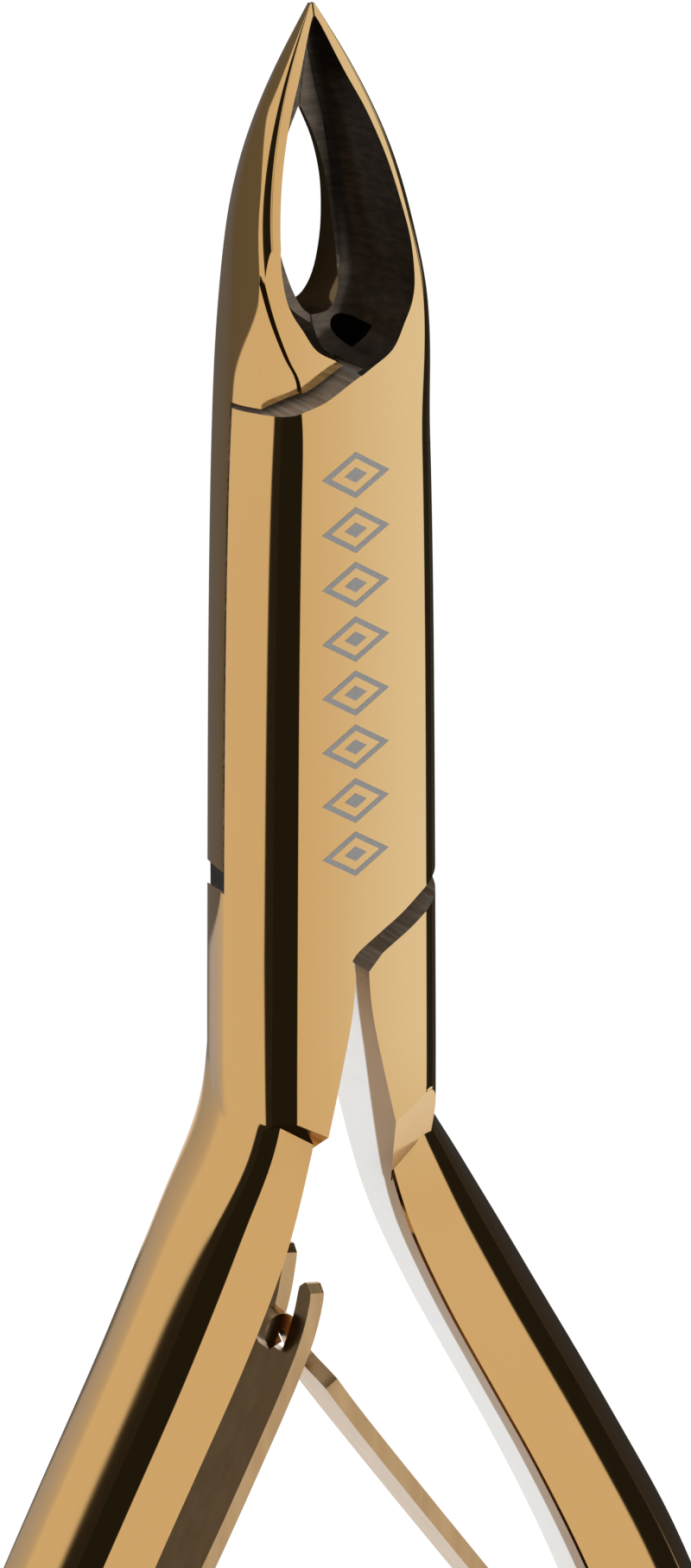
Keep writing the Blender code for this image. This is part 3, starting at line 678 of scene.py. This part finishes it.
class Finish:
    """A material under construction: each call adds one shader node and returns its main output."""

    def __init__(self, name):
        self.material = bpy.data.materials.new(name)
        self.material.use_nodes = True
        self.tree = self.material.node_tree
        self.shader = self.tree.nodes["Principled BSDF"]
        coords = self.tree.nodes.new("ShaderNodeTexCoord")
        self.place = coords.outputs["Object"]
        self.normal = coords.outputs["Normal"]

    def put(self, socket, value):
        """Links another node's output to the socket, or sets a plain value."""
        if isinstance(value, bpy.types.NodeSocket):
            self.tree.links.new(value, socket)
        elif isinstance(value, tuple) and socket.type == "RGBA":
            socket.default_value = (*value, 1.0)
        else:
            socket.default_value = value

    def math(self, operation, a, b=0.0, c=0.0, clamp=False):
        """Arithmetic with up to three values. Clamp keeps the result between 0 and 1."""
        node = self.tree.nodes.new("ShaderNodeMath")
        node.operation = operation
        node.use_clamp = clamp
        for socket, value in zip(node.inputs, (a, b, c)):
            self.put(socket, value)
        return node.outputs[0]

    def parts(self, vector):
        """The three components of a vector."""
        node = self.tree.nodes.new("ShaderNodeSeparateXYZ")
        self.put(node.inputs[0], vector)
        return tuple(node.outputs)

    def ramp(self, value, low, high, to_low=0.0, to_high=1.0):
        """Value between low and high taken smoothly to between the other two."""
        node = self.tree.nodes.new("ShaderNodeMapRange")
        node.interpolation_type = "SMOOTHSTEP"
        for name, given in (("Value", value), ("From Min", low), ("From Max", high),
                            ("To Min", to_low), ("To Max", to_high)):
            self.put(node.inputs[name], given)
        return node.outputs[0]

    def noise(self, scale, stretch=(1, 1, 1), detail=3.0, turn=(0, 0, 0)):
        """Noise from 0 to 1. Stretch is how much faster it changes along each axis."""
        place = self.tree.nodes.new("ShaderNodeMapping")
        self.put(place.inputs["Vector"], self.place)
        place.inputs["Rotation"].default_value = turn
        place.inputs["Scale"].default_value = stretch
        node = self.tree.nodes.new("ShaderNodeTexNoise")
        self.put(node.inputs["Vector"], place.outputs[0])
        node.inputs["Scale"].default_value = scale
        node.inputs["Detail"].default_value = detail
        return node.outputs[0]

    def mix(self, factor, a, b):
        """A colour between a, at factor 0, and b, at factor 1."""
        node = self.tree.nodes.new("ShaderNodeMix")
        node.data_type = "RGBA"
        self.put(node.inputs["Factor"], factor)
        self.put(node.inputs[6], a)
        self.put(node.inputs[7], b)
        return node.outputs[2]

    def bump(self, height, distance, strength):
        """Lights the surface as if it rose with the height, by the distance in metres."""
        node = self.tree.nodes.new("ShaderNodeBump")
        node.inputs["Strength"].default_value = strength
        node.inputs["Distance"].default_value = distance
        self.put(node.inputs["Height"], height)
        self.put(self.shader.inputs["Normal"], node.outputs[0])

    def done(self, colour, roughness, metallic=1.0):
        """Sets how the surface looks and returns the material."""
        self.put(self.shader.inputs["Base Color"], colour)
        self.put(self.shader.inputs["Roughness"], roughness)
        self.put(self.shader.inputs["Metallic"], metallic)
        return self.material


def diamonds(f, x, y):
    """1 in a row of diamonds along Y, each a ring round a dot, and 0 outside."""
    start, end = (limit * MM for limit in MARK_YS)
    along = f.math("DIVIDE", f.math("SUBTRACT", y, start), MARK_PITCH * MM)
    from_middle = f.math("ABSOLUTE", f.math("SUBTRACT", f.math("FRACT", along), 0.5))
    out_y = f.math("DIVIDE", from_middle, MARK_HALF[1] / MARK_PITCH)
    out_x = f.math("ABSOLUTE", f.math("SUBTRACT", x, MARK_X * MM))
    out = f.math("ADD", f.math("DIVIDE", out_x, MARK_HALF[0] * MM), out_y)
    ring = f.math("MULTIPLY", f.ramp(out, *MARK_RING_INSIDE), f.ramp(out, *MARK_RING_OUTSIDE))
    row = f.math("MULTIPLY", f.math("GREATER_THAN", y, start), f.math("LESS_THAN", y, end))
    return f.math("MULTIPLY", row, f.math("MAXIMUM", ring, f.ramp(out, *MARK_DOT)))


def polished_gold():
    """Mirror-polished coating, paler to the right, with faint polishing lines and the etched row."""
    f = Finish("polished_gold")
    x, y, z = f.parts(f.place)
    facing_front = f.math("GREATER_THAN", f.parts(f.normal)[2], MARK_FACING)
    cloud = f.noise(90.0, detail=2.0)
    lines = f.noise(700.0, stretch=(1, 0.04, 1), detail=4.0)
    pale = f.math("MULTIPLY", f.ramp(x, *PALE_XS), f.ramp(y, *PALE_YS))
    pale = f.math("MULTIPLY_ADD", cloud, 0.25, f.math("SUBTRACT", pale, 0.125), clamp=True)
    gold = f.mix(pale, GOLD_DEEP, GOLD_PALE)
    mark = f.math("MULTIPLY", facing_front, f.math("GREATER_THAN", z, MARK_ABOVE_Z * MM))
    mark = f.math("MULTIPLY", mark, diamonds(f, x, y))
    grey = f.mix(f.noise(9000.0, detail=1.0), *MARK_GREYS)
    height = f.math("MULTIPLY_ADD", cloud, 0.5, f.math("MULTIPLY", lines, 0.03))
    height = f.math("SUBTRACT", height, f.math("MULTIPLY", mark, 0.4))
    f.bump(height, 0.00004, 0.3)
    rough = f.math("MULTIPLY_ADD", lines, 0.05, 0.045)
    rough = f.math("ADD", rough, f.math("MULTIPLY", mark, 0.36))
    return f.done(f.mix(mark, gold, grey), rough)


def ground(name, dark, light, stretch, turn, roughness, scale):
    """A surface with the parallel lines of a grinding wheel."""
    f = Finish(name)
    lines = f.noise(scale, stretch=stretch, detail=3.0, turn=turn)
    broad = f.noise(250.0, detail=2.0)
    tone = f.math("MULTIPLY_ADD", broad, 0.2, f.math("MULTIPLY", lines, 0.8))
    colour = f.mix(f.ramp(tone, 0.35, 0.7), dark, light)
    f.bump(lines, 0.00002, 0.5)
    return f.done(colour, f.math("MULTIPLY_ADD", broad, 0.1, roughness))


def inner_wall():
    """Inner wall of a handle: brown under the front edge, and pale below: a painted reflection of the
    table.
    """
    f = Finish("inner_wall")
    _, y, z = f.parts(f.place)
    lines = f.noise(1200.0, stretch=(1, 1, 0.06), detail=3.0)
    split = f.ramp(y, *WALL_SPLIT_YS, *WALL_SPLIT_ZS)
    painted_reflection = f.ramp(f.math("SUBTRACT", z, split), 0.0001, -0.0001)
    # Below the split the wall is painted near white, a painted reflection of the white table
    colour = f.mix(painted_reflection, WALL_BROWN, f.mix(lines, *WALL_REFLECTION_PALES))
    f.bump(lines, 0.00002, 0.4)
    return f.done(colour, f.math("MULTIPLY_ADD", lines, 0.1, 0.22))


def spring_gold():
    """Gold on rolled spring steel, browner and streaked along the leaves."""
    f = Finish("spring_gold")
    lines = f.noise(1500.0, stretch=(1, 0.15, 1), detail=4.0, turn=(0, 0, 0.5))
    broad = f.noise(160.0, detail=2.0)
    tone = f.math("MULTIPLY_ADD", lines, 0.6, f.math("MULTIPLY", broad, 0.4))
    colour = f.mix(tone, SPRING_DARK, SPRING_LIGHT)
    f.bump(lines, 0.00003, 0.5)
    return f.done(colour, f.math("MULTIPLY_ADD", broad, 0.12, 0.14))


def turned_gold():
    """Gold on the turned steel of the rivet and the screws."""
    f = Finish("turned_gold")
    lines = f.noise(2500.0, detail=3.0)
    broad = f.noise(300.0, detail=2.0)
    colour = f.mix(broad, GOLD_DEEP, GOLD_PALE)
    f.bump(lines, 0.00003, 0.3)
    return f.done(colour, f.math("MULTIPLY_ADD", lines, 0.12, 0.16))


def between_handles(f, x, y):
    """1 on the lit table between the handles, and 0 outside."""
    half_width = f.math("MULTIPLY_ADD", y, -GAP_SLOPE, GAP_OFFSET)
    inside = f.math("SUBTRACT", half_width, f.math("ABSOLUTE", x))
    between = f.math("MULTIPLY", f.ramp(inside, -GAP_EDGE, GAP_EDGE), f.ramp(y, *GAP_MOUTH_YS))
    past_leaf = f.math("SUBTRACT", x, f.math("MULTIPLY_ADD", y, LEAF_SLOPE, LEAF_OFFSET))
    past_leaf = f.ramp(past_leaf, -GAP_EDGE, GAP_EDGE)
    return f.math("MULTIPLY", between, f.math("MAXIMUM", past_leaf, f.ramp(y, *LEAF_TIP_YS)))


def table_top():
    """A white table. The camera sees it plain white; its glow and shade, which the steel mirrors, are
    painted.
    """
    f = Finish("white_table")
    shade = f.tree.nodes.new("ShaderNodeAmbientOcclusion")
    shade.samples = 8
    shade.inputs["Distance"].default_value = SHADE_REACH
    x, y, _ = f.parts(f.place)
    # Distance out from the side of the body or the handle
    side = f.math("MAXIMUM", BODY_SIDE, f.math("MULTIPLY_ADD", y, -HANDLE_SPREAD, -BODY_SIDE))
    out = f.math("SUBTRACT", f.math("ABSOLUTE", x), side)
    left = f.math("LESS_THAN", x, 0.0)
    # What is lit: some way out on the left, and far out beside the right handle
    lit = f.math("MULTIPLY", left, f.ramp(out, *LEFT_REACH))
    far_right = f.math("MULTIPLY", f.ramp(x, *FAR_RIGHT_XS), f.ramp(y, *FAR_RIGHT_YS))
    far_right = f.math("MULTIPLY", far_right, f.ramp(x, *FAR_RIGHT_END))
    lit = f.math("ADD", lit, far_right)
    # What the tool shades, close to its left side
    close = f.ramp(y, *HANDLE_NEAR_YS, *HANDLE_NEAR)
    close = f.math("ADD", close, f.ramp(y, *JAW_NEAR_YS, 0.0, JAW_NEAR))
    close = f.math("SUBTRACT", close, f.ramp(y, *TIP_NEAR_YS, 0.0, HANDLE_NEAR[1] + JAW_NEAR))
    near = f.ramp(f.math("SUBTRACT", out, close), NEAR_EDGE, -NEAR_EDGE)
    near = f.math("MULTIPLY", near, left)
    mirrored = f.math("MULTIPLY", f.math("POWER", shade.outputs["AO"], SHADE_POWER), TABLE_GLOW)
    mirrored = f.math("MULTIPLY", mirrored, lit)
    mirrored = f.math("MULTIPLY", mirrored, f.math("SUBTRACT", 1.0, near))
    mirrored = f.math("MULTIPLY_ADD", near, NEAR_GLOW, mirrored)
    mirrored = f.math("MAXIMUM", mirrored, f.math("MULTIPLY", between_handles(f, x, y), GAP_GLOW))
    # To the camera it is white, with painted shade only through the notch
    painted_notch_shade = f.math("GREATER_THAN", y, NOTCH_YS[0])
    painted_notch_shade = f.math("MULTIPLY", painted_notch_shade, f.math("LESS_THAN", y, NOTCH_YS[1]))
    painted_notch_shade = f.math("MULTIPLY", painted_notch_shade, f.math("LESS_THAN", out, NOTCH_OUT))
    seen = f.math("MULTIPLY_ADD", painted_notch_shade, -NOTCH_DARK, 1.0)
    camera_ray = f.tree.nodes.new("ShaderNodeLightPath").outputs["Is Camera Ray"]
    glow = f.math("MULTIPLY_ADD", camera_ray, f.math("SUBTRACT", seen, mirrored), mirrored)
    # This emission is painted light and painted shade, for every ray but the camera's
    f.put(f.shader.inputs["Emission Color"], (1.0, 1.0, 1.0))
    f.put(f.shader.inputs["Emission Strength"], glow)
    return f.done(f.mix(f.noise(20.0, detail=2.0), *TABLE_GREYS), 0.6, 0.0)


def studio():
    """A dark room with soft boxes, in place of which the camera sees plain white."""
    world = bpy.data.worlds.new("studio")
    bpy.context.scene.world = world
    world.use_nodes = True
    tree = world.node_tree
    background = tree.nodes["Background"]
    background.inputs["Color"].default_value = (1, 1, 1, 1)

    def add(kind, *values, **settings):
        node = tree.nodes.new(kind)
        for name, value in settings.items():
            setattr(node, name, value)
        for socket, value in zip(node.inputs, values):
            if isinstance(value, bpy.types.NodeSocket):
                tree.links.new(value, socket)
            else:
                socket.default_value = value
        return node.outputs[0]

    def math_node(operation, *values):
        return add("ShaderNodeMath", *values, operation=operation)

    def band(value, edges):
        """1 between the middle two edges, 0 outside the outer two."""
        smooth = {"interpolation_type": "SMOOTHSTEP"}
        rise = add("ShaderNodeMapRange", value, edges[0], edges[1], 0.0, 1.0, **smooth)
        fall = add("ShaderNodeMapRange", value, edges[2], edges[3], 1.0, 0.0, **smooth)
        return math_node("MULTIPLY", rise, fall)

    coords = tree.nodes.new("ShaderNodeTexCoord")
    split = tree.nodes.new("ShaderNodeSeparateXYZ")
    tree.links.new(coords.outputs["Generated"], split.inputs[0])
    x, y, z = split.outputs
    turn = math_node("MULTIPLY", math_node("ARCTAN2", x, z), 180 / math.pi)
    glow = ROOM_GLOW
    for turns, ups, strength in SOFT_BOXES:
        box = math_node("MULTIPLY", band(turn, turns), band(y, ups))
        glow = math_node("MULTIPLY_ADD", box, strength, glow)
    paths = tree.nodes.new("ShaderNodeLightPath")
    seen = paths.outputs["Is Camera Ray"]
    glow = math_node("ADD", math_node("MULTIPLY", glow, math_node("SUBTRACT", 1.0, seen)), seen)
    tree.links.new(glow, background.inputs["Strength"])


def camera():
    """The camera at its place, turned and lifted as SEEN_ROUND and SEEN_ABOVE say."""
    turn, lift = math.radians(SEEN_ROUND), math.radians(SEEN_ABOVE)
    right = Vector((math.cos(turn), 0, math.sin(turn)))
    up = Vector((math.sin(turn) * math.sin(lift), math.cos(lift), -math.cos(turn) * math.sin(lift)))
    toward = right.cross(up)
    data = bpy.data.cameras.new("camera")
    data.sensor_fit = "VERTICAL"
    data.sensor_height = SENSOR
    data.lens = LENS
    data.clip_start = 0.01
    seen_from = bpy.data.objects.new("camera", data)
    rotation = Matrix((right, up, toward)).transposed().to_4x4()
    seen_from.matrix_world = Matrix.Translation(Vector(EYE) * MM) @ rotation
    bpy.context.scene.collection.objects.link(seen_from)
    bpy.context.scene.camera = seen_from


def table():
    """The table under the tool. It is not one of the part's pieces."""
    bm = bmesh.new()
    bmesh.ops.create_grid(bm, x_segments=1, y_segments=1, size=TABLE_HALF)
    mesh = bpy.data.meshes.new("table")
    bm.to_mesh(mesh)
    bm.free()
    mesh.materials.append(table_top())
    top = bpy.data.objects.new("table", mesh)
    top.location = (0, 0, TABLE_Z * MM)
    bpy.context.scene.collection.objects.link(top)


def shaped_lever(name, side, gold, wall, shoulder_steel):
    """One lever before its jaw and bores are cut, and the tools that shape it."""
    lever = body_envelope(name, gold)
    shaping = [
        (step_cutter("step", -side, gold), "DIFFERENCE"),
        (undercut("undercut", -side, gold), "DIFFERENCE"),
        (handle_blank("handle", -side, gold, wall), "UNION"),
        (lever_region("region", side, shoulder_steel, wall), "INTERSECT"),
    ]
    for tool, operation in shaping:
        combine(lever, tool, operation)
    return lever, [tool for tool, _ in shaping]


def lever_cutters(gold, hollow_steel, bore_steel):
    """The cutters of the levers, each with the sides of the levers that it cuts."""
    by_right_jaw = smooth_line(RELIEF[: RELIEF_TIP + 1], OUTLINE_STEPS)[:-1]
    by_left_jaw = smooth_line(RELIEF[RELIEF_TIP:] + RELIEF[:1], OUTLINE_STEPS)[:-1]
    bore_r = RIVET_R + RIVET_FIT
    front_length = THICK - RIVET_SKIN - FRONT_BORE_Z
    heel_start = (*HEEL_HOLE, HEEL_HOLE_Z)
    up = (0, 0, 1)
    return [
        (hollow_cutter("hollow", hollow_steel), (1, -1)),
        (prism("relief", by_right_jaw + by_left_jaw, *RELIEF_ZS, gold), (1, -1)),
        (left_jaw_cap("left_cap", gold), (-1,)),
        (heel_slope("heel_slope", gold), (-1,)),
        (rod("heel_hole", heel_start, up, HEEL_HOLE_R, HEEL_HOLE_LENGTH, hollow_steel), (1,)),
        (rod("front_bore", (0, 0, FRONT_BORE_Z), up, bore_r, front_length, bore_steel), (1,)),
        (rod("rear_bore", (0, 0, BELOW_Z), up, bore_r, THICK, bore_steel), (-1,)),
    ]


def screw_line(side):
    """The unit vector of a screw, into its handle, and the middle of the leaf on its line."""
    before, middle, after = (float(curve(INNER_X, SCREW_Y + step)) for step in (-1, 0, 1))
    slope = (after - before) / 2
    outward = np.array([side, -slope, 0.0]) / math.hypot(1, slope)
    middle_z = sum(FORK_Z if side < 0 else TONGUE_LEAF_Z) / 2
    return outward, np.array([side * (middle - LEAF_GAP - LEAF_T / 2), SCREW_Y, middle_z])


def screw_and_bore(side, name, metal, bore_steel):
    """The screw of one leaf, the tool for its bore, and the tools used on the screw."""
    outward, centre = screw_line(side)
    seat = centre - outward * (LEAF_T / 2 + SCREW_HEAD_GAP)
    shank_length = SCREW_HEAD_GAP + LEAF_T + LEAF_GAP + SCREW_DEPTH
    top = seat - outward * SCREW_HEAD_T
    screw = rod(name, top, outward, SCREW_HEAD_R, SCREW_HEAD_T, metal)
    shank = rod("shank", seat - outward * SCREW_HEAD_T / 2, outward, SCREW_R, shank_length, metal)
    combine(screw, shank, "UNION")
    across = np.array([-outward[1], outward[0], 0.0]) * DRIVER_SLOT / 2
    deep = outward * DRIVER_DEPTH
    corners = [top - deep - across, top - deep + across, top + deep + across, top + deep - across]
    rings = [[(x, y, centre[2] + z) for x, y, _ in corners] for z in (-DRIVER_REACH, DRIVER_REACH)]
    slot = loft("driver_slot", rings, metal)
    combine(screw, slot, "DIFFERENCE")
    bore = rod("bore", seat, outward, SCREW_R + SCREW_FIT, shank_length + SCREW_BORE_PAST, bore_steel)
    return screw, bore, [shank, slot]


camera()
table()
studio()
bpy.context.scene.view_settings.view_transform = "Standard"

gold = polished_gold()
wall = inner_wall()
hollow_steel = ground(
    "hollow_ground", HOLLOW_DARK, HOLLOW_LIGHT, (0.07, 1, 0.4), (0, 0, 0.3), 0.32, 4000.0
)
shoulder_steel = ground(
    "shoulder_ground", SHOULDER_DARK, SHOULDER_LIGHT, (1, 1, 0.06), (0.3, 0.3, 0), 0.62, 5000.0
)
spring_steel = spring_gold()
small_gold = turned_gold()

# Levers, by the side of the pivot that their jaw is on, and leaves and screws by their own side
tools = []
levers = {}
for side, name in ((1, "front_lever_fine"), (-1, "rear_lever_fine")):
    levers[side], used = shaped_lever(name, side, gold, wall, shoulder_steel)
    tools += used
for cutter, sides in lever_cutters(gold, hollow_steel, shoulder_steel):
    tools.append(cutter)
    for side in sides:
        combine(levers[side], cutter, "DIFFERENCE")

rivet_length = THICK - RIVET_SKIN - RIVET_FIT
rivet = rod("rivet_fine", (0, 0, 0), (0, 0, 1), RIVET_R, rivet_length, small_gold, sides=96)
leaves = {}
screws = {}
for side, side_name, leaf_maker, leaf_name in (
    (-1, "left", fork_leaf, "fork_spring_fine"),
    (1, "right", tongue_leaf, "tongue_spring_fine"),
):
    leaves[side], prongs = leaf_maker(leaf_name, spring_steel)
    screw_name = f"screw_{side_name}_fine"
    screws[side], bore, used = screw_and_bore(side, screw_name, small_gold, shoulder_steel)
    combine(leaves[side], bore, "DIFFERENCE")
    combine(levers[-side], bore, "DIFFERENCE")
    tools += prongs + used + [bore]

# Every piece with the CAD node that it stands for, its body, its finish and how far its edges are
# rounded
pieces = (
    (levers[1], "front_lever", "front_half", "gold_lever", EDGE_ROUND),
    (levers[-1], "rear_lever", "rear_half", "gold_lever", EDGE_ROUND),
    (rivet, "pivot_rivet", "front_half", "gold_small", SMALL_ROUND),
    (leaves[-1], "fork_spring", "fork_leaf", "gold_spring", LEAF_ROUND),
    (leaves[1], "tongue_spring", "tongue_leaf", "gold_spring", LEAF_ROUND),
    (screws[-1], "left_screw", "front_half", "gold_small", SMALL_ROUND),
    (screws[1], "right_screw", "rear_half", "gold_small", SMALL_ROUND),
)
for piece, *_, edge in pieces:
    finished(piece, edge)
for tool in tools:
    bpy.data.objects.remove(tool)
for piece, node, body, slot_name, _ in pieces:
    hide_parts(node)
    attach(piece, body)
